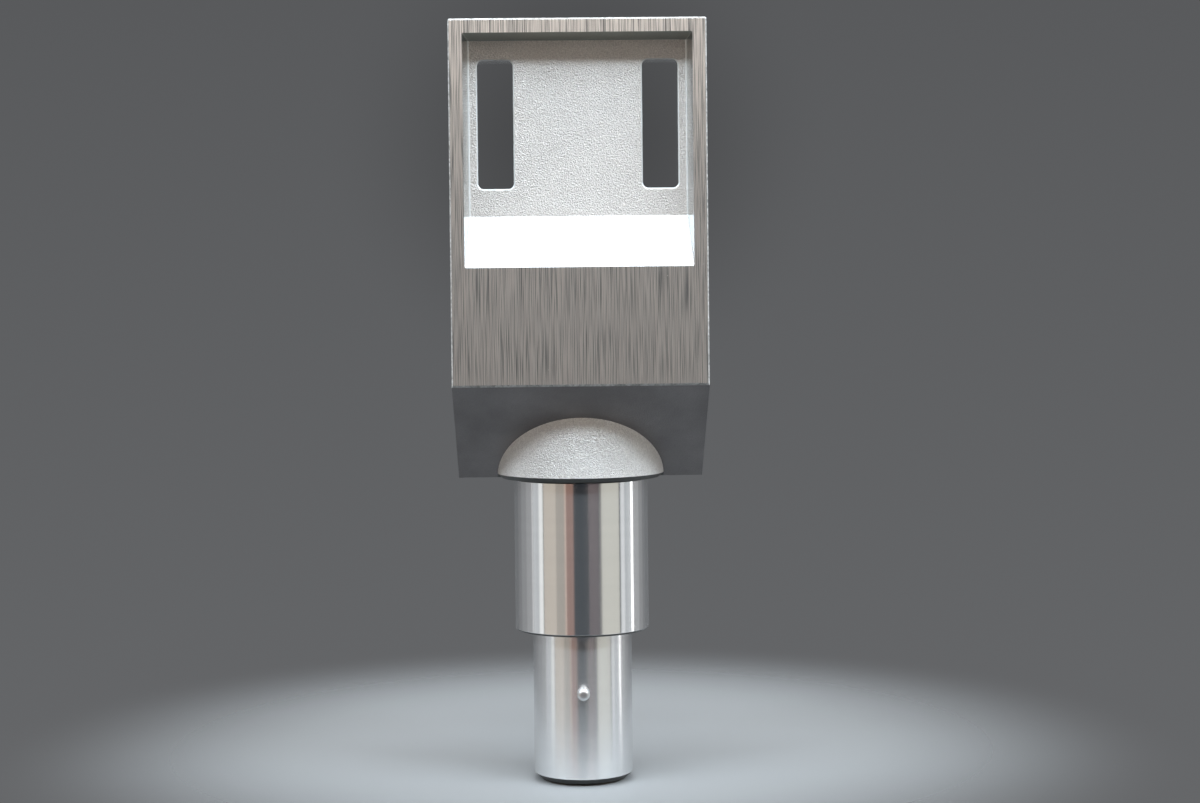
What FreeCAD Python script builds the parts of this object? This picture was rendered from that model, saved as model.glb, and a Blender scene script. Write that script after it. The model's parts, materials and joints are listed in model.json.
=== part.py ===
import FreeCAD, Part
import math
import os
import Sketcher
from FreeCAD import Vector

# Turntable headshell, in millimetres. The origin is on the neck axis, at the shoulder that seats against the
# tonearm. +Z runs from the connector to the toe, -Y is the cartridge side and +Y the top side.

DRIVING = {
    # shell, seen from the underside
    "shell_width": 19.7,
    "rim_drop": 10.2,
    "rim_length": 28.0,
    "rear_slant_length": 7.75,
    "land_length": 9.05,
    "rim_wall": 1.09,
    # cartridge recess
    "recess_depth": 2.1,
    "side_draft": 0.35,
    "front_draft": 0.35,
    "ramp_length": 3.97,
    # plate, and the slots for the cartridge screws
    "plate_thickness": 2.0,
    "slot_spacing": 12.7,
    "slot_width": 2.74,
    "slot_length": 9.85,
    "slot_corner": 0.42,
    "slot_inset": 3.0,
    # top side
    "rear_edge_thickness": 1.8,
    "top_slope_length": 4.7,
    # boss that carries the neck
    "boss_diameter": 13.45,
    "boss_length": 9.7,
    "boss_chamfer": 0.35,
    # edges of the shell
    "rim_chamfer": 0.1,
    "toe_corner": 0.15,
    "slot_edge": 0.08,
    "recess_fillet": 0.12,
    "outer_fillet": 0.4,
    # neck
    "collar_diameter": 10.8,
    "collar_length": 12.3,
    "collar_chamfer": 0.15,
    "spigot_diameter": 8.0,
    "spigot_length": 12.0,
    "spigot_chamfer": 0.4,
    "stub_diameter": 8.0,
    "stub_chamfer": 0.3,
    "neck_bore": 6.0,
    "neck_fit": 0.01,
    # locating pin
    "pin_diameter": 1.0,
    "pin_setback": 4.65,
    "pin_height": 0.9,
    "pin_dome": 0.3,
    "pin_fit": 0.005,
    # insulator inside the neck
    "carrier_recess": 0.3,
    "carrier_fit": 0.01,
    # contacts, on a square as wide as the plug leaves room for
    "plug_wall": 0.18,
    "head_diameter": 1.8,
    "head_length": 1.0,
    "head_height": 0.5,
    "rod_diameter": 1.6,
    "post_diameter": 1.2,
    "post_length": 5.0,
    "post_tip": 0.25,
    "contact_fit": 0.005,
}

doc = FreeCAD.newDocument("headshell")
sheet = doc.addObject("Spreadsheet::Sheet", "sheet")
for row, (alias, value) in enumerate(DRIVING.items(), start=1):
    sheet.set(f"A{row}", alias)
    sheet.set(f"B{row}", str(value))
    sheet.setAlias(f"B{row}", alias)
doc.recompute()

# Places that several features share, as expressions on the sheet.
REAR_END = "sheet.collar_length"
REAR_RIM = f"{REAR_END} + sheet.rear_slant_length"
TOE = f"{REAR_RIM} + sheet.rim_length"
RAMP_HEAD = f"{REAR_RIM} + sheet.land_length"
RAMP_FOOT = f"{RAMP_HEAD} + sheet.ramp_length"
FLOOR_DROP = "sheet.rim_drop - sheet.recess_depth"
PLATE_TOP_DROP = f"{FLOOR_DROP} - sheet.plate_thickness"
HALF_RECESS = "sheet.shell_width / 2 - sheet.rim_wall"
FRONT_WALL = f"{TOE} - sheet.rim_wall"
STUB_END = f"{REAR_END} + sheet.boss_length"
CARRIER_REAR = "sheet.carrier_recess - sheet.spigot_length"
ROD_RADIUS = "sheet.rod_diameter / 2"
POST_RADIUS = "sheet.post_diameter / 2"
HEAD_RADIUS = "sheet.head_diameter / 2"
SEAT_DEPTH = "sheet.head_length - sheet.head_height"
PLUG_RADIUS = "sheet.neck_bore / 2 - sheet.carrier_fit"
CONTACT_OFFSET = f"({PLUG_RADIUS} - sheet.plug_wall - sheet.contact_fit - {HEAD_RADIUS}) / sqrt(2)"
SLOT_TOE = f"{TOE} - sheet.slot_inset"
SLOT_REAR = f"{SLOT_TOE} - sheet.slot_length"


def new_body(name):
    body = doc.addObject("PartDesign::Body", name)
    body.Label = name
    return body


def origin_item(body, role):
    """One of the body's own origin planes or axes."""
    return next(item for item in body.Origin.OriginFeatures if item.Role == role)


def new_sketch(body, name, plane, offset=None):
    """A sketch on one of the body's own origin planes, moved along the plane's normal by an expression."""
    sketch = body.newObject("Sketcher::SketchObject", name)
    sketch.AttachmentSupport = [(origin_item(body, plane), "")]
    sketch.MapMode = "FlatFace"
    if offset:
        sketch.setExpression("AttachmentOffset.Base.z", offset)
    return sketch


def value_of(expression):
    """The present value of an expression on the sheet, to draw a sketch near its final shape."""
    result = sheet.evalExpression(expression)
    return float(getattr(result, "Value", result))


def hold(sketch, kind, geometry, point, expression, name):
    """Place one point of a sketch from its origin by an expression."""
    index = sketch.addConstraint(Sketcher.Constraint(kind, -1, 1, geometry, point, value_of(expression)))
    sketch.renameConstraint(index, name)
    sketch.setExpression(f"Constraints.{name}", expression)


def add_outline(sketch, corners):
    """A closed outline of straight lines, each corner held by two expressions on the sheet."""
    points = [Vector(value_of(across), value_of(along), 0) for across, along in corners]
    ends = points[1:] + points[:1]
    lines = [sketch.addGeometry(Part.LineSegment(start, end), False) for start, end in zip(points, ends)]
    for line, following in zip(lines, lines[1:] + lines[:1]):
        sketch.addConstraint(Sketcher.Constraint("Coincident", line, 2, following, 1))
    for number, (line, (across, along)) in enumerate(zip(lines, corners)):
        hold(sketch, "DistanceX", line, 1, across, f"across_{number}")
        hold(sketch, "DistanceY", line, 1, along, f"along_{number}")


def add_circle(sketch, radius, across="0", along="0"):
    centre = Vector(value_of(across), value_of(along), 0)
    circle = sketch.addGeometry(Part.Circle(centre, Vector(0, 0, 1), value_of(radius)), False)
    hold(sketch, "DistanceX", circle, 3, across, "across")
    hold(sketch, "DistanceY", circle, 3, along, "along")
    hold_radius(sketch, circle, radius)


def hold_radius(sketch, curve, radius):
    """Hold the radius of a circle or an arc by an expression."""
    index = sketch.addConstraint(Sketcher.Constraint("Radius", curve, value_of(radius)))
    sketch.renameConstraint(index, "radius")
    sketch.setExpression("Constraints.radius", radius)


def add_pad(body, name, sketch, length, midplane=False):
    pad = body.newObject("PartDesign::Pad", name)
    pad.Profile = sketch
    pad.setExpression("Length", length)
    pad.Midplane = midplane
    doc.recompute()
    return pad


def add_revolution(body, name, sketch):
    """A full turn of a sketch about its own upright axis."""
    revolution = body.newObject("PartDesign::Revolution", name)
    revolution.Profile = sketch
    revolution.ReferenceAxis = (sketch, ["V_Axis"])
    revolution.Angle = 360
    doc.recompute()
    return revolution


def add_pocket(body, name, sketch, length=None, reverse=False):
    """A cut from a sketch, through everything where no length is given. It has to take material away."""
    volume = body.Shape.Volume
    pocket = body.newObject("PartDesign::Pocket", name)
    pocket.Profile = sketch
    pocket.Reversed = reverse
    if length:
        pocket.setExpression("Length", length)
    else:
        pocket.Type = "ThroughAll"
    doc.recompute()
    if not pocket.Shape.Volume < volume:
        raise RuntimeError(f"{name} cuts nothing")
    return pocket


def add_loft_cut(body, name, first, last):
    """A cut with flat sides from one sketch to another."""
    volume = body.Shape.Volume
    loft = body.newObject("PartDesign::SubtractiveLoft", name)
    loft.Profile = first
    loft.Sections = [last]
    loft.Ruled = True
    doc.recompute()
    if not loft.Shape.Volume < volume:
        raise RuntimeError(f"{name} cuts nothing")
    return loft


def dress(body, kind, name, size_property, size, chosen):
    """A fillet or chamfer on the edges of the body that a test on the edge's points picks out."""
    base = body.Tip
    names = [f"Edge{number}" for number, edge in enumerate(base.Shape.Edges, start=1) if chosen(edge)]
    if not names:
        raise RuntimeError(f"{name} finds no edge")
    feature = body.newObject(f"PartDesign::{kind}", name)
    feature.Base = (base, names)
    feature.setExpression(size_property, size)
    doc.recompute()
    return feature


def points_on(edge):
    """Both ends and the middle of an edge."""
    first, last = edge.ParameterRange
    return [edge.valueAt(first), edge.valueAt((first + last) / 2), edge.valueAt(last)]


def lies_on(edge, axis, place):
    """Whether a whole edge lies in the plane where the named coordinate has this value."""
    return all(math.isclose(getattr(point, axis), place, abs_tol=1e-4) for point in points_on(edge))


def make_shell():
    body = new_body("shell")

    # Side view of the casting: across is Y, along is Z.
    profile = new_sketch(body, "side_profile", "YZ_Plane")
    rim = "-sheet.rim_drop"
    plate_top = f"-({PLATE_TOP_DROP})"
    add_outline(profile, [
        (rim, REAR_RIM),
        (rim, TOE),
        (plate_top, TOE),
        (plate_top, RAMP_FOOT),
        ("sheet.rear_edge_thickness", f"{RAMP_FOOT} - sheet.top_slope_length"),
        ("sheet.rear_edge_thickness", REAR_END),
        ("0", REAR_END),
    ])
    add_pad(body, "casting", profile, "sheet.shell_width", midplane=True)
    dress(body, "Fillet", "top_edges", "Radius", "sheet.outer_fillet", is_top_edge)

    # Round boss for the neck, proud of the slanted rear face below and of the block above.
    boss = new_sketch(body, "boss_outline", "XY_Plane", REAR_END)
    add_circle(boss, "sheet.boss_diameter / 2")
    add_pad(body, "boss", boss, "sheet.boss_length")
    dress(body, "Chamfer", "boss_rim", "Size", "sheet.boss_chamfer", is_boss_rim)

    # The neck's bore runs on through the slope of the top side, where the leads come out.
    bore = new_sketch(body, "bore_outline", "XY_Plane", REAR_END)
    add_circle(bore, "sheet.stub_diameter / 2 + sheet.neck_fit")
    add_pocket(body, "bore", bore, reverse=True)

    # Cartridge recess, narrower at its floor than at the rim, with a long ramp at its rear end.
    mouth = new_sketch(body, "recess_mouth", "XZ_Plane", "sheet.rim_drop")
    add_outline(mouth, [
        (f"-({HALF_RECESS})", RAMP_HEAD),
        (HALF_RECESS, RAMP_HEAD),
        (HALF_RECESS, FRONT_WALL),
        (f"-({HALF_RECESS})", FRONT_WALL),
    ])
    half_floor = f"{HALF_RECESS} - sheet.side_draft"
    floor = new_sketch(body, "recess_floor", "XZ_Plane", FLOOR_DROP)
    add_outline(floor, [
        (f"-({half_floor})", RAMP_FOOT),
        (half_floor, RAMP_FOOT),
        (half_floor, f"{FRONT_WALL} - sheet.front_draft"),
        (f"-({half_floor})", f"{FRONT_WALL} - sheet.front_draft"),
    ])
    add_loft_cut(body, "recess", mouth, floor)
    dress(body, "Fillet", "recess_corners", "Radius", "sheet.recess_fillet", is_recess_corner)

    # Two slots through the plate, side by side at the standard spacing, each with a broken edge at the floor.
    slot = new_sketch(body, "slot_outline", "XZ_Plane", "sheet.rim_drop")
    add_slot_outline(slot, "0")
    through = add_pocket(body, "slot", slot)
    wide = new_sketch(body, "slot_mouth", "XZ_Plane", FLOOR_DROP)
    add_slot_outline(wide, "sheet.slot_edge")
    narrow = new_sketch(body, "slot_throat", "XZ_Plane", f"{FLOOR_DROP} - sheet.slot_edge")
    add_slot_outline(narrow, "0")
    broken_edge = add_loft_cut(body, "slot_edge", wide, narrow)
    pair = body.newObject("PartDesign::Mirrored", "slot_pair")
    pair.Originals = [through, broken_edge]
    pair.MirrorPlane = (origin_item(body, "YZ_Plane"), [""])
    body.Tip = pair
    doc.recompute()
    dress(body, "Fillet", "toe_corners", "Radius", "sheet.toe_corner", is_toe_corner)
    dress(body, "Chamfer", "rim_edges", "Size", "sheet.rim_chamfer", is_rim_edge)
    return body


def add_slot_outline(sketch, margin):
    """The outline of the slot on the +X side, with rounded corners, larger all round by a margin."""
    left_side = f"(sheet.slot_spacing - sheet.slot_width) / 2 - {margin}"
    right_side = f"(sheet.slot_spacing + sheet.slot_width) / 2 + {margin}"
    rear_end = f"{SLOT_REAR} - {margin}"
    toe_end = f"{SLOT_TOE} + {margin}"
    radius = f"sheet.slot_corner + {margin}"
    left, right, rear, toe = map(value_of, (left_side, right_side, rear_end, toe_end))
    corner = value_of(radius)
    sides = [
        (Vector(left + corner, rear, 0), Vector(right - corner, rear, 0)),
        (Vector(right, rear + corner, 0), Vector(right, toe - corner, 0)),
        (Vector(right - corner, toe, 0), Vector(left + corner, toe, 0)),
        (Vector(left, toe - corner, 0), Vector(left, rear + corner, 0)),
    ]
    centres = [
        Vector(right - corner, rear + corner, 0),
        Vector(right - corner, toe - corner, 0),
        Vector(left + corner, toe - corner, 0),
        Vector(left + corner, rear + corner, 0),
    ]
    lines = [sketch.addGeometry(Part.LineSegment(*side), False) for side in sides]
    arcs = []
    for quarter, centre in enumerate(centres):
        circle = Part.Circle(centre, Vector(0, 0, 1), corner)
        start = (quarter - 1) * math.pi / 2
        arcs.append(sketch.addGeometry(Part.ArcOfCircle(circle, start, start + math.pi / 2), False))
    for line, arc, following in zip(lines, arcs, lines[1:] + lines[:1]):
        sketch.addConstraint(Sketcher.Constraint("Tangent", line, 2, arc, 1))
        sketch.addConstraint(Sketcher.Constraint("Tangent", arc, 2, following, 1))
    for arc in arcs[1:]:
        sketch.addConstraint(Sketcher.Constraint("Equal", arcs[0], arc))
    rear_line, right_line, toe_line, left_line = lines
    sketch.addConstraint(Sketcher.Constraint("Horizontal", rear_line))
    sketch.addConstraint(Sketcher.Constraint("Horizontal", toe_line))
    sketch.addConstraint(Sketcher.Constraint("Vertical", right_line))
    sketch.addConstraint(Sketcher.Constraint("Vertical", left_line))
    hold(sketch, "DistanceX", left_line, 1, left_side, "left_side")
    hold(sketch, "DistanceX", right_line, 1, right_side, "right_side")
    hold(sketch, "DistanceY", rear_line, 1, rear_end, "rear_end")
    hold(sketch, "DistanceY", toe_line, 1, toe_end, "toe_end")
    hold_radius(sketch, arcs[0], radius)


def is_top_edge(edge):
    """The long edges of the top side, along both flanks, down the slope and across the toe."""
    half_width = value_of("sheet.shell_width / 2")
    plate_top = -value_of(PLATE_TOP_DROP)
    on_flank = any(lies_on(edge, "x", side * half_width) for side in (-1, 1))
    on_top_side = all(point.y > plate_top - 1e-4 for point in points_on(edge))
    runs_along = abs(points_on(edge)[0].z - points_on(edge)[2].z) > value_of("sheet.plate_thickness")
    across_toe = lies_on(edge, "z", value_of(TOE)) and lies_on(edge, "y", plate_top)
    return (on_flank and on_top_side and runs_along) or across_toe


def is_boss_rim(edge):
    """The round rear edge of the boss."""
    on_end = lies_on(edge, "z", value_of(REAR_END))
    radius = value_of("sheet.boss_diameter / 2")
    return on_end and all(math.isclose(math.hypot(p.x, p.y), radius, abs_tol=1e-3) for p in points_on(edge))


def is_recess_corner(edge):
    """The corners inside the recess: around its floor, and between one wall and the next."""
    floor = -value_of(FLOOR_DROP)
    start, _, end = points_on(edge)
    nearer, deeper = sorted((start.y, end.y))
    climbs_wall = math.isclose(nearer, -value_of("sheet.rim_drop"), abs_tol=1e-4)
    return math.isclose(deeper, floor, abs_tol=1e-4) and (climbs_wall or lies_on(edge, "y", floor))


def is_toe_corner(edge):
    """The two outer corners of the toe, from the underside to the top side."""
    half_width = value_of("sheet.shell_width / 2")
    on_flank = any(lies_on(edge, "x", side * half_width) for side in (-1, 1))
    return on_flank and lies_on(edge, "z", value_of(TOE))


def is_rim_edge(edge):
    """The outer edges of the brushed underside. The recess keeps its crisp mouth."""
    on_rim = lies_on(edge, "y", -value_of("sheet.rim_drop"))
    mouth = value_of(HALF_RECESS) + 1e-4
    front = value_of(FRONT_WALL) + 1e-4
    rear = value_of(RAMP_HEAD) - 1e-4
    in_mouth = all(abs(p.x) <= mouth and rear <= p.z <= front for p in points_on(edge))
    return on_rim and not in_mouth


def make_neck():
    body = new_body("neck")

    # Half section of the turned piece: across is the radius, along is Z.
    section = new_sketch(body, "neck_section", "XZ_Plane")
    bore = "sheet.neck_bore / 2"
    spigot = "sheet.spigot_diameter / 2"
    collar = "sheet.collar_diameter / 2"
    stub = "sheet.stub_diameter / 2"
    add_outline(section, [
        (bore, "-sheet.spigot_length"),
        (f"{spigot} - sheet.spigot_chamfer", "-sheet.spigot_length"),
        (spigot, "sheet.spigot_chamfer - sheet.spigot_length"),
        (spigot, "0"),
        (f"{collar} - sheet.collar_chamfer", "0"),
        (collar, "sheet.collar_chamfer"),
        (collar, f"{REAR_END} - sheet.collar_chamfer"),
        (f"{collar} - sheet.collar_chamfer", REAR_END),
        (stub, REAR_END),
        (stub, f"{STUB_END} - sheet.stub_chamfer"),
        (f"{stub} - sheet.stub_chamfer", STUB_END),
        (bore, STUB_END),
    ])
    add_revolution(body, "turning", section)

    # Radial hole for the locating pin, on the cartridge side.
    hole = new_sketch(body, "pin_hole_outline", "XZ_Plane")
    add_circle(hole, "sheet.pin_diameter / 2 + sheet.pin_fit", along="-sheet.pin_setback")
    add_pocket(body, "pin_hole", hole, "sheet.spigot_diameter", reverse=True)
    return body


def make_locating_pin():
    """A short pin with a rounded head, turned about its own axis and then laid along -Y."""
    body = new_body("locating_pin")
    section = new_sketch(body, "pin_section", "XZ_Plane")
    radius = "sheet.pin_diameter / 2"
    foot = "sheet.neck_bore / 2 + sheet.pin_fit"
    tip = "sheet.spigot_diameter / 2 + sheet.pin_height"
    add_outline(section, [
        ("0", foot),
        (radius, foot),
        (radius, tip),
        ("0", tip),
    ])
    add_revolution(body, "pin", section)
    dress(body, "Fillet", "pin_dome", "Radius", "sheet.pin_dome", lambda edge: lies_on(edge, "z", value_of(tip)))
    body.setExpression("Placement.Base.z", "-sheet.pin_setback")
    body.Placement.Rotation = FreeCAD.Rotation(Vector(1, 0, 0), 90)
    return body


def make_contact_carrier():
    """The insulating plug that fills the neck, with four holes and a seat for each contact's head."""
    body = new_body("contact_carrier")
    outline = new_sketch(body, "carrier_outline", "XY_Plane", CARRIER_REAR)
    add_circle(outline, PLUG_RADIUS)
    add_pad(body, "plug", outline, f"{STUB_END} - ({CARRIER_REAR})")

    hole = new_sketch(body, "hole_outline", "XY_Plane", CARRIER_REAR)
    add_circle(hole, f"{ROD_RADIUS} + sheet.contact_fit", CONTACT_OFFSET, CONTACT_OFFSET)
    through = add_pocket(body, "hole", hole, reverse=True)
    seat = new_sketch(body, "seat_outline", "XY_Plane", CARRIER_REAR)
    add_circle(seat, f"{HEAD_RADIUS} + sheet.contact_fit", CONTACT_OFFSET, CONTACT_OFFSET)
    sunk = add_pocket(body, "seat", seat, SEAT_DEPTH, reverse=True)

    four = body.newObject("PartDesign::PolarPattern", "four_holes")
    four.Originals = [through, sunk]
    four.Axis = (origin_item(body, "Z_Axis"), [""])
    four.Angle = 360
    four.Occurrences = 4
    body.Tip = four
    doc.recompute()
    return body


def make_contact_pin(name, side, level):
    """One turned contact, from its flat head at the spigot's end to its lead post above the plate."""
    body = new_body(name)
    section = new_sketch(body, f"{name}_section", "XZ_Plane")
    head_rear = f"{CARRIER_REAR} - sheet.head_height"
    head_front = f"{CARRIER_REAR} + {SEAT_DEPTH}"
    post_end = f"{STUB_END} + sheet.post_length"
    add_outline(section, [
        ("0", head_rear),
        (HEAD_RADIUS, head_rear),
        (HEAD_RADIUS, head_front),
        (ROD_RADIUS, head_front),
        (ROD_RADIUS, STUB_END),
        (POST_RADIUS, STUB_END),
        (POST_RADIUS, f"{post_end} - sheet.post_tip"),
        (f"{POST_RADIUS} - sheet.post_tip", post_end),
        ("0", post_end),
    ])
    add_revolution(body, f"{name}_turning", section)
    body.setExpression("Placement.Base.x", f"{side} * {CONTACT_OFFSET}")
    body.setExpression("Placement.Base.y", f"{level} * {CONTACT_OFFSET}")
    return body


sub_parts = [make_shell(), make_neck(), make_locating_pin(), make_contact_carrier()]
for level_name, level in (("upper", 1), ("lower", -1)):
    for side_name, side in (("left", -1), ("right", 1)):
        sub_parts.append(make_contact_pin(f"contact_pin_{side_name}_{level_name}", side, level))
doc.recompute()

for item in doc.Objects:
    if "Invalid" in item.State or "Error" in item.State:
        raise RuntimeError(f"{item.Label} is in state {item.State}")
for part in sub_parts:
    if part.Shape.isNull() or not part.Shape.isValid():
        raise RuntimeError(f"{part.Label} has no valid shape")

os.makedirs("parts", exist_ok=True)
for part in sub_parts:
    part.Shape.exportStep(f"parts/{part.Label}.step")
    box = part.Shape.BoundBox
    print(f"{part.Label}: {part.Shape.Volume:.1f} mm3, solids {len(part.Shape.Solids)}, "
          f"x {box.XMin:.2f}..{box.XMax:.2f}, y {box.YMin:.2f}..{box.YMax:.2f}, z {box.ZMin:.2f}..{box.ZMax:.2f}")
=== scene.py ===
import json
import math

import bmesh
import bpy
from mathutils import Matrix, Vector

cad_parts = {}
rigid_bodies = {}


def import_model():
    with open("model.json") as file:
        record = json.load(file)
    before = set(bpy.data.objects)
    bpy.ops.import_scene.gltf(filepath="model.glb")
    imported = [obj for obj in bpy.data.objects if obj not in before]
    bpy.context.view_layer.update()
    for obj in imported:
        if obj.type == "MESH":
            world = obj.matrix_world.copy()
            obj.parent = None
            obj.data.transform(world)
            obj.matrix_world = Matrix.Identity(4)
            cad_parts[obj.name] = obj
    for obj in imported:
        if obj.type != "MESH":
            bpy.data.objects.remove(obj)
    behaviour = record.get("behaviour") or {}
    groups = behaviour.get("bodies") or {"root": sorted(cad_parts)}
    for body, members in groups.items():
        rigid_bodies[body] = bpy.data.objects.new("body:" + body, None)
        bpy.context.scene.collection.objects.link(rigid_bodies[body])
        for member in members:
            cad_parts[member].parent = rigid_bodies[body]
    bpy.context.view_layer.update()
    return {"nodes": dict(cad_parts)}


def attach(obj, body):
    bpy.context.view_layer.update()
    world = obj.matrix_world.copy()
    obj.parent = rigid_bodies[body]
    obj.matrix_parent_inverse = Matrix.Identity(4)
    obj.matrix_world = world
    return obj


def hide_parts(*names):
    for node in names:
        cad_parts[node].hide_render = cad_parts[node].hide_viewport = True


mm = 0.001

for leftover in list(bpy.data.objects):
    bpy.data.objects.remove(leftover)

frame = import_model()
nodes = frame["nodes"]
print("frame loaded,", len(nodes), "nodes")


# Helpers for node trees

def addNode(tree, kind, inputs=None, **settings):
    made = tree.nodes.new("ShaderNode" + kind)
    for name, value in settings.items():
        setattr(made, name, value)
    for socket, value in (inputs or {}).items():
        if isinstance(value, bpy.types.NodeSocket):
            tree.links.new(value, made.inputs[socket])
        else:
            made.inputs[socket].default_value = value
    return made


def calc(tree, operation, first, second, clamp=False):
    return addNode(tree, "Math", {0: first, 1: second}, operation=operation, use_clamp=clamp).outputs[0]


def spread(tree, value, fromLow, fromHigh, toLow=0.0, toHigh=1.0):
    return addNode(tree, "MapRange", {"Value": value, "From Min": fromLow, "From Max": fromHigh,
                                      "To Min": toLow, "To Max": toHigh}).outputs["Result"]


def blend(tree, share, first, second):
    mixed = addNode(tree, "Mix", {0: share, 6: first, 7: second}, data_type="RGBA")
    return mixed.outputs[2]


def stretched(tree, vector, factors):
    # Coordinates multiplied along each axis, by a stretch or by features per metre
    return addNode(tree, "VectorMath", {0: vector, 1: factors}, operation="MULTIPLY").outputs[0]


def newGroup(name, levels, outputs):
    # A group with a vector and some levels going in, and levels coming out
    tree = bpy.data.node_groups.new(name, "ShaderNodeTree")
    tree.interface.new_socket(name="Vector", in_out="INPUT", socket_type="NodeSocketVector")
    for socketName, value in levels.items():
        socket = tree.interface.new_socket(name=socketName, in_out="INPUT", socket_type="NodeSocketFloat")
        socket.default_value = value
    for socketName in outputs:
        tree.interface.new_socket(name=socketName, in_out="OUTPUT", socket_type="NodeSocketFloat")
    return tree, tree.nodes.new("NodeGroupInput").outputs, tree.nodes.new("NodeGroupOutput").inputs


def useGroup(tree, group, inputs):
    placed = tree.nodes.new("ShaderNodeGroup")
    placed.node_tree = group
    for socket, value in inputs.items():
        if isinstance(value, bpy.types.NodeSocket):
            tree.links.new(value, placed.inputs[socket])
        else:
            placed.inputs[socket].default_value = value
    return placed.outputs


# Effects that several finishes share

blastLook = {"detail": 1.0, "roughness": 0.5, "distortion": 0.7, "cloudsPerMetre": 260.0, "cloudDetail": 3.0,
             "range": (0.3, 0.7)}


def makeBlastGrain():
    # Fine worm-like grain of blasted or moulded surfaces, and broad soft clouds
    look = blastLook
    tree, given, put = newGroup("blastGrain", {"Grains per metre": 5000.0}, ["Height", "Clouds"])
    grain = addNode(tree, "TexNoise", {"Vector": given["Vector"], "Scale": given["Grains per metre"],
                                       "Detail": look["detail"], "Roughness": look["roughness"],
                                       "Distortion": look["distortion"]})
    clouds = addNode(tree, "TexNoise", {"Vector": given["Vector"], "Scale": look["cloudsPerMetre"],
                                        "Detail": look["cloudDetail"]})
    tree.links.new(spread(tree, grain.outputs[0], *look["range"]), put["Height"])
    tree.links.new(spread(tree, clouds.outputs[0], *look["range"]), put["Clouds"])
    return tree


grindLook = {"stretch": (1.0, 1.0, 0.01), "detail": 1.0, "roughness": 0.6, "fineRange": (0.33, 0.54),
             "bandsPerMetre": (1400.0, 1400.0, 60.0), "bandDetail": 3.0, "bandRange": (0.3, 0.7),
             "tintsPerMetre": (11000.0, 11000.0, 130.0), "tintDetail": 2.0, "tintDistortion": 0.3,
             "tintRange": (0.35, 0.65)}


def makeGrindLines():
    # Long fine scratches along Z, with broader bands among them and a tint of their own
    look = grindLook
    tree, given, put = newGroup("grindLines", {"Lines per metre": 9000.0}, ["Fine", "Bands", "Tint"])
    fine = addNode(tree, "TexNoise", {"Vector": stretched(tree, given["Vector"], look["stretch"]),
                                      "Scale": given["Lines per metre"], "Detail": look["detail"],
                                      "Roughness": look["roughness"]})
    bands = addNode(tree, "TexNoise", {"Vector": stretched(tree, given["Vector"], look["bandsPerMetre"]),
                                       "Scale": 1.0, "Detail": look["bandDetail"]})
    tint = addNode(tree, "TexNoise", {"Vector": stretched(tree, given["Vector"], look["tintsPerMetre"]),
                                      "Scale": 1.0, "Detail": look["tintDetail"],
                                      "Distortion": look["tintDistortion"]})
    tree.links.new(spread(tree, fine.outputs[0], *look["fineRange"]), put["Fine"])
    tree.links.new(spread(tree, bands.outputs[0], *look["bandRange"]), put["Bands"])
    tree.links.new(spread(tree, tint.outputs[0], *look["tintRange"]), put["Tint"])
    return tree


def makeNicks():
    # Sparse small dents, each in a cell of its own
    tree, given, put = newGroup("nicks", {"Cells per metre": 900.0, "Share": 0.1, "Radius": 0.16}, ["Mask"])
    cells = addNode(tree, "TexVoronoi", {"Vector": given["Vector"], "Scale": given["Cells per metre"]})
    pick = addNode(tree, "SeparateColor", {0: cells.outputs["Color"]})
    chosen = calc(tree, "LESS_THAN", pick.outputs[0], given["Share"])
    size = calc(tree, "MULTIPLY", given["Radius"], pick.outputs[1])
    inside = calc(tree, "LESS_THAN", cells.outputs["Distance"], size)
    tree.links.new(calc(tree, "MULTIPLY", chosen, inside), put["Mask"])
    return tree


turningLook = {"detail": 2.0, "bandsPerMetre": 900.0, "range": (0.3, 0.7)}


def makeTurningLines():
    # Rings that a lathe tool leaves round an axis along Z
    look = turningLook
    tree, given, put = newGroup("turningLines", {"Rings per metre": 12000.0}, ["Rings", "Bands"])
    place = addNode(tree, "SeparateXYZ", {0: given["Vector"]})
    for name, perMetre in (("Rings", given["Rings per metre"]), ("Bands", look["bandsPerMetre"])):
        height = calc(tree, "MULTIPLY", place.outputs["Z"], perMetre)
        noise = addNode(tree, "TexNoise", {"W": height, "Scale": 1.0, "Detail": look["detail"]},
                        noise_dimensions="1D")
        tree.links.new(spread(tree, noise.outputs[0], *look["range"]), put[name])
    return tree


blastGrain = makeBlastGrain()
grindLines = makeGrindLines()
nicks = makeNicks()
turningLines = makeTurningLines()


def newMaterial(name, **constants):
    material = bpy.data.materials.new(name)
    material.use_nodes = True
    tree = material.node_tree
    tree.nodes.clear()
    shader = addNode(tree, "BsdfPrincipled", constants)
    output = addNode(tree, "OutputMaterial")
    tree.links.new(shader.outputs[0], output.inputs["Surface"])
    return material, tree, shader, addNode(tree, "TexCoord").outputs["Object"]


def addBump(tree, shader, height, depth):
    bump = addNode(tree, "Bump", {"Height": height, "Distance": depth * mm, "Strength": 1.0})
    tree.links.new(bump.outputs[0], shader.inputs["Normal"])


def addHaze(shader, haze):
    # A thin rough coat stands for the dust and fine wear that catch the key light
    for socket, value in zip(("Coat Weight", "Coat Roughness", "Coat IOR"), haze):
        shader.inputs[socket].default_value = value


def addLook(tree, shader, colour, level, roughness):
    # The colour, and a roughness that goes from its first to its last value as the level goes from 0 to 1
    tree.links.new(colour, shader.inputs["Base Color"])
    tree.links.new(spread(tree, level, 0.0, 1.0, *roughness), shader.inputs["Roughness"])


def weighed(tree, share, main, other):
    # The main value by its share, and the other one by the rest
    part = calc(tree, "MULTIPLY", main, share)
    return calc(tree, "ADD", part, calc(tree, "MULTIPLY", other, 1.0 - share), clamp=True)


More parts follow.
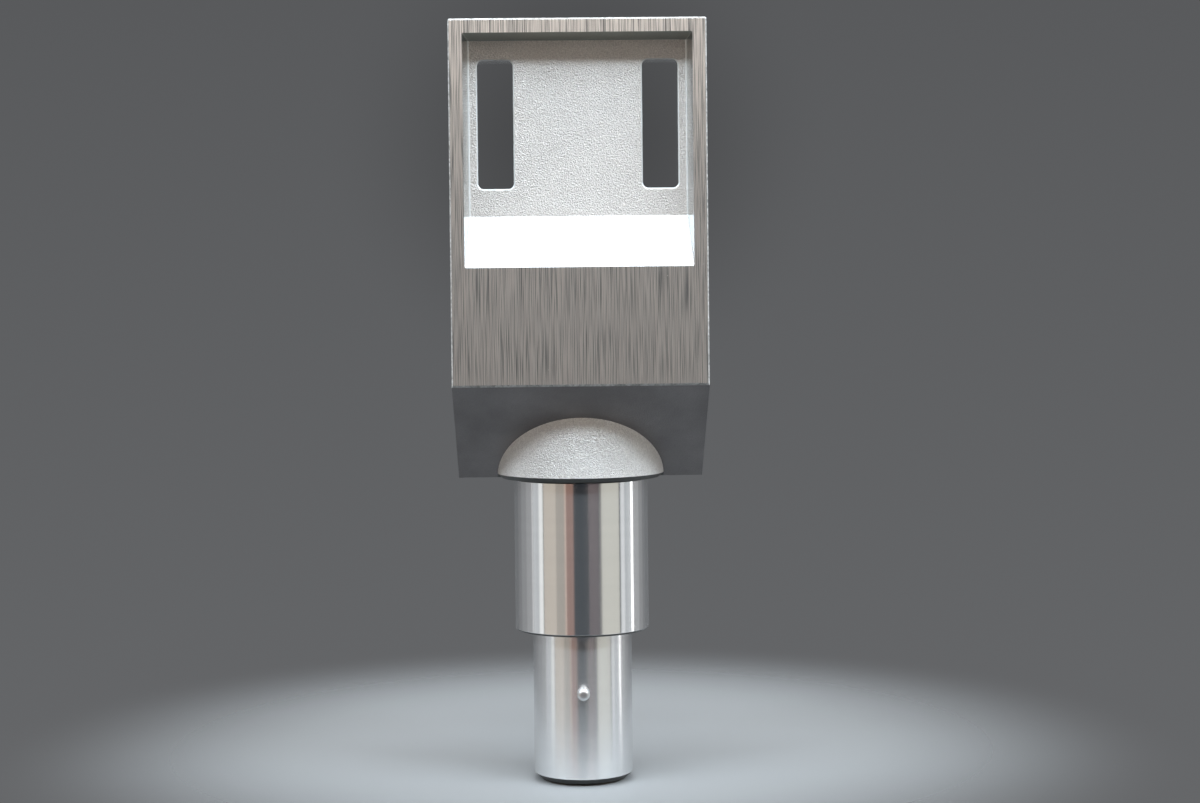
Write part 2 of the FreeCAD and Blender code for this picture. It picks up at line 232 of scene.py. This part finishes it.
def addDents(tree, place, finish):
    return useGroup(tree, nicks, {"Vector": place, "Cells per metre": finish["dentCellsPerMetre"],
                                  "Share": finish["dentShare"], "Radius": finish["dentRadius"]})["Mask"]


def dented(tree, height, dents, finish):
    return calc(tree, "SUBTRACT", height, calc(tree, "MULTIPLY", dents, finish["dentDrop"]))


# Finishes of the shell

groundFinish = {"dark": (0.1, 0.105, 0.105, 1), "light": (1.0, 1.0, 0.985, 1),
                "pink": (1.0, 0.975, 0.955, 1), "dent": (0.9, 0.9, 0.89, 1),
                "roughness": (0.34, 0.39), "scratchDepth": 0.007,
                "linesPerMetre": 20000.0, "fineShare": 0.96, "haze": (1.0, 0.6, 1.9),
                "dentCellsPerMetre": 750.0, "dentShare": 0.25, "dentRadius": 0.1, "dentDrop": 3.0}


def makeGroundMetal():
    finish = groundFinish
    material, tree, shader, place = newMaterial("groundMetal", Metallic=1.0, Anisotropic=1.0)
    addHaze(shader, finish["haze"])
    lines = useGroup(tree, grindLines, {"Vector": place, "Lines per metre": finish["linesPerMetre"]})
    dents = addDents(tree, place, finish)
    metal = blend(tree, lines["Tint"], finish["light"], finish["pink"])
    share = weighed(tree, finish["fineShare"], lines["Fine"], lines["Bands"])
    colour = blend(tree, dents, blend(tree, share, finish["dark"], metal), finish["dent"])
    addLook(tree, shader, colour, lines["Fine"], finish["roughness"])
    addBump(tree, shader, dented(tree, lines["Fine"], dents, finish), finish["scratchDepth"])
    return material


milledFinish = {"dark": (0.57, 0.585, 0.585, 1), "light": (0.69, 0.70, 0.70, 1), "roughness": (0.2, 0.27),
                "lineDepth": 0.001, "linesPerMetre": 5000.0}


def makeMilledMetal():
    finish = milledFinish
    material, tree, shader, place = newMaterial("milledMetal", Metallic=1.0)
    lines = useGroup(tree, grindLines, {"Vector": place, "Lines per metre": finish["linesPerMetre"]})
    colour = blend(tree, lines["Bands"], finish["dark"], finish["light"])
    addLook(tree, shader, colour, lines["Fine"], finish["roughness"])
    addBump(tree, shader, lines["Fine"], finish["lineDepth"])
    return material


blastedFinish = {"dark": (0.74, 0.69, 0.65, 1), "light": (0.97, 0.92, 0.875, 1), "roughness": (0.61, 0.67),
                 "grainDepth": 0.095, "grainsPerMetre": 9500.0, "grainShare": 0.85}
bossFinish = {"dark": (0.78, 0.745, 0.715, 1), "light": (0.99, 0.96, 0.925, 1), "roughness": (0.57, 0.63),
              "grainDepth": 0.062, "grainsPerMetre": 9000.0, "grainShare": 0.85}
rampFinish = {"dark": (0.84, 0.84, 0.84, 1), "light": (0.88, 0.88, 0.88, 1), "roughness": (0.59, 0.65),
              "grainDepth": 0.015, "grainsPerMetre": 6500.0, "grainShare": 0.85}
# The slanted underside is dark grey
darkSlantFinish = {"dark": (0.143, 0.136, 0.136, 1), "light": (0.203, 0.19, 0.19, 1), "roughness": (0.46, 0.36),
               "grainDepth": 0.006, "grainsPerMetre": 9000.0, "grainShare": 0.35}
castFinish = {"dark": (0.54, 0.545, 0.55, 1), "light": (0.68, 0.685, 0.69, 1), "roughness": (0.6, 0.54),
              "grainDepth": 0.022, "grainsPerMetre": 9000.0, "grainShare": 0.8}
# Painted shade: the boss's chamfer and rear ring and the neck's chamfers are near black, in place of a dark
# reflection
paintedShadeFinish = {"dark": (0.06, 0.06, 0.058, 1), "light": (0.09, 0.09, 0.086, 1), "roughness": (0.4, 0.3),
               "grainDepth": 0.003, "grainsPerMetre": 9000.0, "grainShare": 0.35}
edgeFinish = {"dark": (0.45, 0.45, 0.44, 1), "light": (1.0, 1.0, 0.99, 1), "roughness": (0.56, 0.46),
              "grainDepth": 0.008, "grainsPerMetre": 3600.0, "grainShare": 0.85}
# Painted shade: the recess's front wall, which faces down, is dark greenish grey
frontWallPaintedShadeFinish = {"dark": (0.36, 0.39, 0.37, 1), "light": (0.44, 0.475, 0.45, 1), "roughness": (0.48, 0.4),
                   "grainDepth": 0.004, "grainsPerMetre": 9000.0, "grainShare": 0.35}
# Lighter and smoother than the blasted floor: in part a painted highlight along the narrow fillets and slot
# edges
highlightLineFinish = {"dark": (0.80, 0.80, 0.79, 1), "light": (0.92, 0.92, 0.91, 1), "roughness": (0.6, 0.5),
              "grainDepth": 0.002, "grainsPerMetre": 9000.0, "grainShare": 0.35}

# The contact carrier's finish, which is made like those above
plasticFinish = {"dark": (0.012, 0.012, 0.013, 1), "light": (0.028, 0.028, 0.03, 1),
                 "roughness": (0.38, 0.5), "grainDepth": 0.004, "grainsPerMetre": 8000.0, "grainShare": 0.0}


def makeGrained(name, finish, metallic=1.0):
    # The tone follows the grain by its share and the clouds by the rest, the roughness follows the clouds
    material, tree, shader, place = newMaterial(name, Metallic=metallic)
    grain = useGroup(tree, blastGrain, {"Vector": place, "Grains per metre": finish["grainsPerMetre"]})
    tone = weighed(tree, finish["grainShare"], grain["Height"], grain["Clouds"])
    colour = blend(tree, tone, finish["dark"], finish["light"])
    addLook(tree, shader, colour, grain["Clouds"], finish["roughness"])
    addBump(tree, shader, grain["Height"], finish["grainDepth"])
    return material


# Finishes of the turned pieces

turnedWear = {"ringsPerMetre": 14000.0, "wornTone": 0.97, "glossTurn": 0.25,
              "hazeRoughness": 0.8, "hazeIndex": 1.9, "dentCellsPerMetre": 420.0, "dentShare": 0.08,
              "dentRadius": 0.07, "dentDrop": 4.0, "dentRoughness": 0.35}
polishedFinish = {"colour": (0.97, 0.97, 0.975), "roughness": (0.13, 0.16), "ringDepth": 0.0004,
                  "anisotropy": 0.75, "haze": 1.0}
spigotFinish = {"colour": (0.92, 0.92, 0.925), "roughness": (0.21, 0.26), "ringDepth": 0.0004,
                "anisotropy": 0.75, "haze": 1.0}
chromedFinish = {"colour": (0.78, 0.78, 0.78), "roughness": (0.34, 0.4), "ringDepth": 0.0002,
                 "anisotropy": 0.0, "haze": 0.0}
goldFinish = {"colour": (0.94, 0.71, 0.33), "roughness": (0.14, 0.22), "ringDepth": 0.0006,
              "anisotropy": 0.3, "haze": 0.0}


def makeTurnedMetal(name, finish):
    # Tool rings run round the piece, so its gloss is drawn out along the axis
    wear = turnedWear
    material, tree, shader, place = newMaterial(name, Metallic=1.0, Anisotropic=finish["anisotropy"])
    addHaze(shader, (finish["haze"], wear["hazeRoughness"], wear["hazeIndex"]))
    shader.inputs["Anisotropic Rotation"].default_value = wear["glossTurn"]
    lines = useGroup(tree, turningLines, {"Vector": place, "Rings per metre": wear["ringsPerMetre"]})
    dents = addDents(tree, place, wear)
    worn = tuple(part * wear["wornTone"] for part in finish["colour"]) + (1,)
    tree.links.new(blend(tree, lines["Bands"], worn, finish["colour"] + (1,)), shader.inputs["Base Color"])
    polish = spread(tree, lines["Rings"], 0.0, 1.0, *finish["roughness"])
    scuffed = calc(tree, "MULTIPLY", dents, wear["dentRoughness"])
    tree.links.new(calc(tree, "ADD", polish, scuffed, clamp=True), shader.inputs["Roughness"])
    addBump(tree, shader, dented(tree, lines["Rings"], dents, wear), finish["ringDepth"])
    return material


groundMetal = makeGroundMetal()
blastedMetal = makeGrained("blastedMetal", blastedFinish)
bossMetal = makeGrained("bossMetal", bossFinish)
rampMetal = makeGrained("rampMetal", rampFinish)
milledMetal = makeMilledMetal()
darkSlantMetal = makeGrained("darkSlantMetal", darkSlantFinish)
castMetal = makeGrained("castMetal", castFinish)
paintedShadeMetal = makeGrained("paintedShadeMetal", paintedShadeFinish)
edgeMetal = makeGrained("edgeMetal", edgeFinish)
frontWallPaintedShadeMetal = makeGrained("frontWallPaintedShadeMetal", frontWallPaintedShadeFinish)
highlightLineMetal = makeGrained("highlightLineMetal", highlightLineFinish)
polishedMetal = makeTurnedMetal("polishedMetal", polishedFinish)
spigotMetal = makeTurnedMetal("spigotMetal", spigotFinish)
chromedMetal = makeTurnedMetal("chromedMetal", chromedFinish)
goldPlate = makeTurnedMetal("goldPlate", goldFinish)
mouldedPlastic = makeGrained("mouldedPlastic", plasticFinish, metallic=0.0)
print("materials made,", len(bpy.data.materials))


# Pieces

# Angles in degrees
flatAngle = 4
turnedSharpAngle = 30


def markSharp(mesh, angle, wideArea=None):
    # Edges between two wide flat faces are sharp at any angle, so that rounded edges alone are smooth
    for edge in mesh.edges:
        smooth = len(edge.link_faces) == 2 and edge.calc_face_angle() < math.radians(angle)
        if smooth and wideArea and edge.calc_face_angle() > math.radians(flatAngle):
            smooth = min(face.calc_area() for face in edge.link_faces) < wideArea * mm * mm
        edge.smooth = smooth
    for face in mesh.faces:
        face.smooth = True


def addPiece(name, mesh, materials, node):
    made = bpy.data.meshes.new(name)
    mesh.to_mesh(made)
    mesh.free()
    piece = bpy.data.objects.new(name, made)
    bpy.context.scene.collection.objects.link(piece)
    for material in materials:
        made.materials.append(material)
    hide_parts(node)
    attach(piece, "root")
    weighNormals(piece)


def weighNormals(piece):
    # Wide flat faces keep their own direction next to small rounded edges
    weighted = piece.modifiers.new("weighNormals", "WEIGHTED_NORMAL")
    weighted.keep_sharp = True


# Places on the CAD solid, in millimetres
shellPlaces = {"rimY": -10.2, "floorY": -8.1, "plateTop": -6.1, "recessHalf": 8.82, "recessRear": 29.05,
               "recessFront": 47.02, "bossRadius": 6.725, "bossRear": 12.3, "bossFront": 22.0,
               "slantFront": 20.06}

# How far from those places a face's centre may lie, in millimetres
shellMargins = {"flat": 0.005, "floor": 0.03, "floorCorner": 0.13, "plate": 0.01, "slotEdge": 0.081,
                "bossOutside": 0.02, "bossInside": 0.1, "bossRing": 0.4, "rimChamfer": 0.11}

# How much of a face's normal points the way that its finish asks for
shellSlopes = {"frontWallPaintedShade": 0.5, "cornerLeast": 0.2, "cornerMost": 0.97, "ramp": 0.3, "floor": 0.35,
               "slotEdge": 0.2, "bossSide": 0.2, "slant": 0.5}


def shellFinish(centre, normal):
    places, near, slopes = shellPlaces, shellMargins, shellSlopes
    radius = math.hypot(centre.x, centre.y)
    inLength = places["recessRear"] < centre.z < places["recessFront"]
    inRecess = inLength and abs(centre.x) < places["recessHalf"]
    if centre.y < places["rimY"] + near["flat"]:
        return "ground"
    if inRecess and centre.y < places["floorY"] + near["floor"]:
        # The front wall takes a painted shade
        if normal.z < -slopes["frontWallPaintedShade"]:
            return "frontWallPaintedShade"
        aslant = slopes["cornerLeast"] < abs(normal.x) < slopes["cornerMost"]
        # Fillets at the floor take the lighter finish, in part a painted highlight
        if centre.y > places["floorY"] - near["floorCorner"] and aslant:
            return "highlightLine"
        if centre.y > places["floorY"] + near["flat"]:
            return "highlightLine"
        if normal.z > slopes["ramp"]:
            return "ramp"
        return "blasted" if normal.y < -slopes["floor"] else "milled"
    if inRecess and centre.y < places["plateTop"] - near["plate"]:
        # Slot edges take the lighter finish, in part a painted highlight
        slotEdge = centre.y < places["floorY"] + near["slotEdge"] and normal.y < -slopes["slotEdge"]
        return "highlightLine" if slotEdge else "milled"
    if radius < places["bossRadius"] + near["bossOutside"] and centre.z < places["bossFront"]:
        if radius > places["bossRadius"] - near["bossInside"] and abs(normal.z) < slopes["bossSide"]:
            return "boss"
        # The boss's chamfer and rear ring take the painted shade
        return "paintedShade" if centre.z < places["bossRear"] + near["bossRing"] else "milled"
    if centre.y < places["rimY"] + near["rimChamfer"]:
        return "edge"
    if centre.z < places["slantFront"] and normal.y < -slopes["slant"] and normal.z < -slopes["slant"]:
        return "darkSlant"
    return "cast"


# Lengths in millimetres, the chamfers' angles in radians, the sharp angle in degrees and areas in mm2
shellEdges = {"mergeWithin": 0.0005, "chamferAngles": (0.6, 0.95), "onPlane": 0.003, "broken": 0.022,
              "sharpAngle": 32, "sharpArea": 1.0, "flatArea": 0.3, "facing": 0.9999}


def liesOn(edge, level):
    return all(abs(v.co.y / mm - shellPlaces[level]) < shellEdges["onPlane"] for v in edge.verts)


def breakEdges(mesh, edges, size, segments):
    bmesh.ops.bevel(mesh, geom=edges, offset=size * mm, offset_type="OFFSET", affect="EDGES",
                    segments=segments, profile=0.5, material=-1)


def makeShell():
    look = shellEdges
    mesh = bmesh.new()
    mesh.from_mesh(nodes["shell"].data)
    bmesh.ops.remove_doubles(mesh, verts=mesh.verts, dist=look["mergeWithin"] * mm)
    mesh.normal_update()
    least, most = look["chamferAngles"]
    broken = [edge for edge in mesh.edges
              if len(edge.link_faces) == 2 and least < edge.calc_face_angle() < most
              and (liesOn(edge, "rimY") or liesOn(edge, "floorY"))]
    print("chamfer edges rounded,", len(broken))
    breakEdges(mesh, broken, look["broken"], 1)
    # The broken corners would otherwise stand out past the rim
    for vertex in mesh.verts:
        vertex.co.y = max(vertex.co.y, shellPlaces["rimY"] * mm)
    mesh.normal_update()
    finishes = {"darkSlant": darkSlantMetal, "ground": groundMetal, "blasted": blastedMetal, "milled": milledMetal,
                "cast": castMetal, "paintedShade": paintedShadeMetal, "edge": edgeMetal, "frontWallPaintedShade": frontWallPaintedShadeMetal,
                "ramp": rampMetal, "highlightLine": highlightLineMetal, "boss": bossMetal}
    names = list(finishes)
    for face in mesh.faces:
        face.material_index = names.index(shellFinish(face.calc_center_median() / mm, face.normal))
    markSharp(mesh, look["sharpAngle"], look["sharpArea"])
    for face in mesh.faces:
        finish = names[face.material_index]
        wide = finish in ("darkSlant", "ramp") and face.calc_area() > look["flatArea"] * mm * mm
        face.smooth = not (wide or (finish in ("ground", "blasted") and face.normal.y < -look["facing"]))
    addPiece("shellBody", mesh, finishes.values(), "shell")


def turnProfile(profile, steps, roundings):
    # A closed or axis-to-axis outline of (radius, z) points in millimetres, turned about Z. A rounding is
    # the radius and height of an edge, its size and its number of segments
    near = 0.001 * mm
    mesh = bmesh.new()
    points = [mesh.verts.new((radius * mm, 0, height * mm)) for radius, height in profile]
    closed = profile[0][0] > 0
    pairs = list(zip(points, points[1:] + points[:1])) if closed else list(zip(points, points[1:]))
    lines = [mesh.edges.new(pair) for pair in pairs]
    bmesh.ops.spin(mesh, geom=points + lines, cent=(0, 0, 0), axis=(0, 0, 1), angle=math.tau, steps=steps,
                   use_merge=True)
    bmesh.ops.remove_doubles(mesh, verts=mesh.verts, dist=near)
    bmesh.ops.recalc_face_normals(mesh, faces=mesh.faces)
    for radius, height, size, segments in roundings:
        rim = [edge for edge in mesh.edges
               if all(abs(v.co.z - height * mm) < near and abs(v.co.xy.length - radius * mm) < near
                      for v in edge.verts)]
        breakEdges(mesh, rim, size, segments)
    return mesh


neckShape = {
    "profile": [(3.0, -12.0), (3.6, -12.0), (4.0, -11.6), (4.0, 0.0), (5.25, 0.0), (5.4, 0.15), (5.4, 12.15),
                (5.25, 12.3), (4.0, 12.3), (4.0, 21.7), (3.7, 22.0), (3.0, 22.0)],
    "roundings": [(4.0, -11.6, 0.05, 2), (3.6, -12.0, 0.05, 2), (5.4, 0.15, 0.04, 2), (5.4, 12.15, 0.04, 2),
                  (3.0, -12.0, 0.06, 2)],
    "chamfers": [(-12.1, -11.6), (0.0, 0.15), (12.15, 12.3)],
    "steps": 180,
}


def makeNeck():
    shape = neckShape
    mesh = turnProfile(shape["profile"], shape["steps"], shape["roundings"])
    for face in mesh.faces:
        height = face.calc_center_median().z / mm
        onChamfer = any(low < height < high for low, high in shape["chamfers"])
        # The chamfers take the painted shade
        face.material_index = 1 if onChamfer else 2 if height < 0.0 else 0
    markSharp(mesh, turnedSharpAngle)
    addPiece("neckTurning", mesh, [polishedMetal, paintedShadeMetal, spigotMetal], "neck")


pinShape = {"radius": 0.5, "foot": 3.005, "tip": 4.9, "dome": 0.3, "domeSegments": 8, "setback": -4.65,
            "steps": 48}


def makeLocatingPin():
    shape = pinShape
    profile = [(0, shape["foot"]), (shape["radius"], shape["foot"]), (shape["radius"], shape["tip"]),
               (0, shape["tip"])]
    mesh = turnProfile(profile, shape["steps"],
                       [(shape["radius"], shape["tip"], shape["dome"], shape["domeSegments"])])
    quarterTurn = Matrix.Rotation(math.radians(90), 3, "X")
    bmesh.ops.rotate(mesh, verts=mesh.verts, cent=(0, 0, 0), matrix=quarterTurn)
    bmesh.ops.translate(mesh, verts=mesh.verts, vec=(0, 0, shape["setback"] * mm))
    markSharp(mesh, turnedSharpAngle)
    addPiece("locatingPinDomed", mesh, [chromedMetal], "locating_pin")


contactShape = {
    "offset": 1.34704,
    "profile": [(0, -12.2), (0.9, -12.2), (0.9, -11.2), (0.8, -11.2), (0.8, 22.0), (0.6, 22.0), (0.6, 26.75),
                (0.35, 27.0), (0, 27.0)],
    "roundings": [(0.9, -12.2, 0.15, 4), (0.6, 26.75, 0.05, 2), (0.35, 27.0, 0.05, 2)],
    "steps": 40,
}


def makeContacts():
    shape = contactShape
    offset = shape["offset"] * mm
    for sideName, side in (("left", -1), ("right", 1)):
        for levelName, level in (("upper", 1), ("lower", -1)):
            mesh = turnProfile(shape["profile"], shape["steps"], shape["roundings"])
            bmesh.ops.translate(mesh, verts=mesh.verts, vec=(side * offset, level * offset, 0))
            markSharp(mesh, turnedSharpAngle)
            addPiece(f"contact_{sideName}_{levelName}", mesh, [goldPlate],
                     f"contact_pin_{sideName}_{levelName}")


makeShell()
makeNeck()
makeLocatingPin()
makeContacts()
nodes["contact_carrier"].data.materials.clear()
nodes["contact_carrier"].data.materials.append(mouldedPlastic)


# Floor, lamps, world and camera

# Lengths in millimetres
floorLook = {"height": -12.21, "radius": 80.0, "segments": 96, "centreBehind": 15.0, "solidTo": 14.0,
             "goneBy": 54.0, "colour": (0.39, 0.39, 0.388, 1), "roughness": 0.6}


def makeFloor():
    look = floorLook
    mesh = bmesh.new()
    bmesh.ops.create_circle(mesh, cap_ends=True, segments=look["segments"], radius=look["radius"] * mm)
    bmesh.ops.translate(mesh, verts=mesh.verts, vec=(0, 0, look["height"] * mm))
    made = bpy.data.meshes.new("floor")
    mesh.to_mesh(made)
    mesh.free()
    floor = bpy.data.objects.new("floor", made)
    bpy.context.scene.collection.objects.link(floor)
    material, tree, shader, place = newMaterial("paleFloor", Roughness=look["roughness"])
    shader.inputs["Base Color"].default_value = look["colour"]
    centre = (0, look["centreBehind"] * mm, look["height"] * mm)
    away = addNode(tree, "VectorMath", {0: place, 1: centre}, operation="DISTANCE").outputs["Value"]
    fade = addNode(tree, "MapRange", {"Value": away, "From Min": look["solidTo"] * mm,
                                      "From Max": look["goneBy"] * mm, "To Min": 1.0, "To Max": 0.0},
                   interpolation_type="SMOOTHERSTEP")
    tree.links.new(fade.outputs["Result"], shader.inputs["Alpha"])
    made.materials.append(material)


lampSettings = {
    # place, target, width and height in mm, brightness of its face and colour
    "keyLamp": ((0, -441, 472), (0, -6, 30), 1000, 85, 13.6, (0.85, 1.0, 1.12)),
    "keyEndLeft": ((-480, -300, 440), (0, -6, 20), 300, 100, 17.0, (0.85, 1.0, 1.14)),
    "keyEndRight": ((480, -300, 440), (0, -6, 20), 300, 100, 22.0, (0.85, 1.0, 1.14)),
    "frontPanelLeft": ((-143, -560, 202), (0, 0, 40), 86, 190, 2.6, (1.0, 0.885, 0.79)),
    "frontPanelRight": ((168, -560, 202), (0, 0, 40), 216, 190, 2.6, (1.0, 0.885, 0.79)),
    "overheadBox": ((0, -80, 330), (0, -80, 0), 240, 260, 2.1, (1.0, 1.0, 1.0)),
    "leftFrontPanel": ((-300, -450, 50), (0, -450, 50), 300, 560, 0.325, (1.0, 0.89, 0.75)),
    "leftFrontBox": ((-300, -212, 50), (0, -212, 50), 182, 560, 0.48, (1.0, 0.885, 0.745)),
    "leftSideBox": ((-300, -88, 50), (0, -88, 50), 50, 560, 0.8, (0.99, 1.0, 0.98)),
    "leftSidePanel": ((-300, -29, 50), (0, -29, 50), 68, 560, 0.47, (0.95, 0.98, 1.0)),
    "leftStrip": ((-300, 16, 50), (0, 16, 50), 14, 560, 0.55, (1.0, 1.0, 1.0)),
    "leftRearPanel": ((-300, 66, 50), (0, 66, 50), 84, 560, 0.165, (1.0, 1.0, 1.0)),
    "leftFarPanel": ((-300, 165, 50), (0, 165, 50), 114, 560, 0.1, (1.0, 1.0, 1.0)),
    "leftEndPanel": ((-300, 290, 50), (0, 290, 50), 136, 560, 0.04, (1.0, 1.0, 1.0)),
    "rightFrontBox": ((300, -320, 50), (0, -320, 50), 390, 560, 0.51, (1.0, 0.975, 0.86)),
    "rightEdgeStrip": ((300, -478, 50), (0, -478, 50), 64, 560, 0.13, (1.0, 0.92, 0.85)),
    "rightSideBox": ((300, -84, 50), (0, -84, 50), 52, 560, 0.66, (0.97, 0.99, 1.0)),
    "rightSidePanel": ((300, -23, 50), (0, -23, 50), 66, 560, 0.45, (0.94, 0.98, 1.0)),
    "rightStrip": ((300, 32, 50), (0, 32, 50), 30, 560, 1.7, (1.0, 1.0, 1.0)),
    "rightRearPanel": ((300, 100, 50), (0, 100, 50), 90, 560, 0.2, (1.0, 1.0, 1.0)),
    "rightFarPanel": ((300, 195, 50), (0, 195, 50), 100, 560, 0.1, (1.0, 1.0, 1.0)),
    "rightEndPanel": ((300, 305, 50), (0, 305, 50), 120, 560, 0.03, (1.0, 1.0, 1.0)),
    "leftPanel": ((-183, -465, 30), (0, 0, 30), 132, 400, 0.235, (1.0, 0.56, 0.42)),
    "rightPanel": ((175, -468, 30), (0, 0, 30), 150, 400, 0.085, (1.0, 0.72, 0.72)),
    "backBox": ((0, 330, 300), (0, 0, 20), 300, 220, 0.7, (1.0, 1.0, 1.0)),
}


def makeLamps():
    for name, (place, target, width, height, brightness, colour) in lampSettings.items():
        lamp = bpy.data.lights.new(name, "AREA")
        lamp.shape = "RECTANGLE"
        lamp.size = width * mm
        lamp.size_y = height * mm
        lamp.energy = brightness * math.pi * lamp.size * lamp.size_y
        lamp.color = colour
        held = bpy.data.objects.new(name, lamp)
        held.location = Vector(place) * mm
        held.rotation_euler = (Vector(target) - Vector(place)).to_track_quat("-Z", "Y").to_euler()
        held.visible_camera = False
        bpy.context.scene.collection.objects.link(held)


backdropLook = {"light": (0.116, 0.119, 0.123, 1), "room": (0.003, 0.007, 0.013, 1),
                "roomEdge": (-0.12, 0.12), "upper": (0.094, 0.0965, 0.101, 1),
                "lower": (0.138, 0.142, 0.148, 1), "heights": (-0.3, 0.2),
                "shadeTowards": (0.009, 0.9967, 0.07), "shadeReach": 0.12, "shadeDepth": 0.42}


def makeWorld():
    # The fill is even. The backdrop behind the object is a little darker at the top, and a painted shade
    # darkens it behind the slots. Polished metal shows a dark room in front of it
    look = backdropLook
    world = bpy.data.worlds.new("studio")
    world.use_nodes = True
    tree = world.node_tree
    direction = addNode(tree, "TexCoord").outputs["Generated"]
    parts = addNode(tree, "SeparateXYZ", {0: direction}).outputs
    drop = blend(tree, spread(tree, parts["Z"], *look["heights"]), look["lower"], look["upper"])
    away = addNode(tree, "VectorMath", {0: direction, 1: look["shadeTowards"]}, operation="DISTANCE")
    paintedShade = addNode(tree, "MapRange", {"Value": away.outputs["Value"], "From Min": 0.0,
                                       "From Max": look["shadeReach"], "To Min": 1.0 - look["shadeDepth"],
                                       "To Max": 1.0}, interpolation_type="SMOOTHSTEP")
    shaded = addNode(tree, "VectorMath", {0: drop, "Scale": paintedShade.outputs["Result"]}, operation="SCALE")
    drop = shaded.outputs[0]
    around = blend(tree, spread(tree, parts["Y"], *look["roomEdge"]), look["room"], drop)
    ray = addNode(tree, "LightPath")
    glow = blend(tree, ray.outputs["Is Glossy Ray"], look["light"], around)
    background = tree.nodes["Background"]
    tree.links.new(blend(tree, ray.outputs["Is Camera Ray"], glow, drop), background.inputs["Color"])
    background.inputs["Strength"].default_value = 1.0
    bpy.context.scene.world = world


# The place in millimetres, the angles in radians, the focal length and the shift in pixels of the picture
cameraFit = {"place": (-1.519, -174.203, 26.559), "pitch": -0.0248, "roll": -0.0105, "yaw": -0.0183,
             "focal": 2151.08, "imageWidth": 1200, "shiftPixels": -48,
             "sensorWidth": 36.0, "clipStart": 0.01}


def makeCamera():
    fit = cameraFit
    level = Vector((-math.sin(fit["yaw"]), math.cos(fit["yaw"]), 0))
    right = Vector((math.cos(fit["yaw"]), math.sin(fit["yaw"]), 0))
    upward = Vector((0, 0, 1))
    forward = level * math.cos(fit["pitch"]) + upward * math.sin(fit["pitch"])
    top = upward * math.cos(fit["pitch"]) - level * math.sin(fit["pitch"])
    turnedRight = right * math.cos(fit["roll"]) + top * math.sin(fit["roll"])
    turnedTop = top * math.cos(fit["roll"]) - right * math.sin(fit["roll"])
    lens = bpy.data.cameras.new("photoCamera")
    lens.sensor_width = fit["sensorWidth"]
    lens.lens = fit["focal"] / fit["imageWidth"] * lens.sensor_width
    lens.shift_y = fit["shiftPixels"] / fit["imageWidth"]
    lens.clip_start = fit["clipStart"]
    camera = bpy.data.objects.new("photoCamera", lens)
    pose = Matrix((turnedRight, turnedTop, -forward)).transposed().to_4x4()
    pose.translation = Vector(fit["place"]) * mm
    camera.matrix_world = pose
    bpy.context.scene.collection.objects.link(camera)
    bpy.context.scene.camera = camera


makeFloor()
makeLamps()
makeWorld()
makeCamera()
bpy.context.scene.view_settings.view_transform = "Standard"
print("studio made")
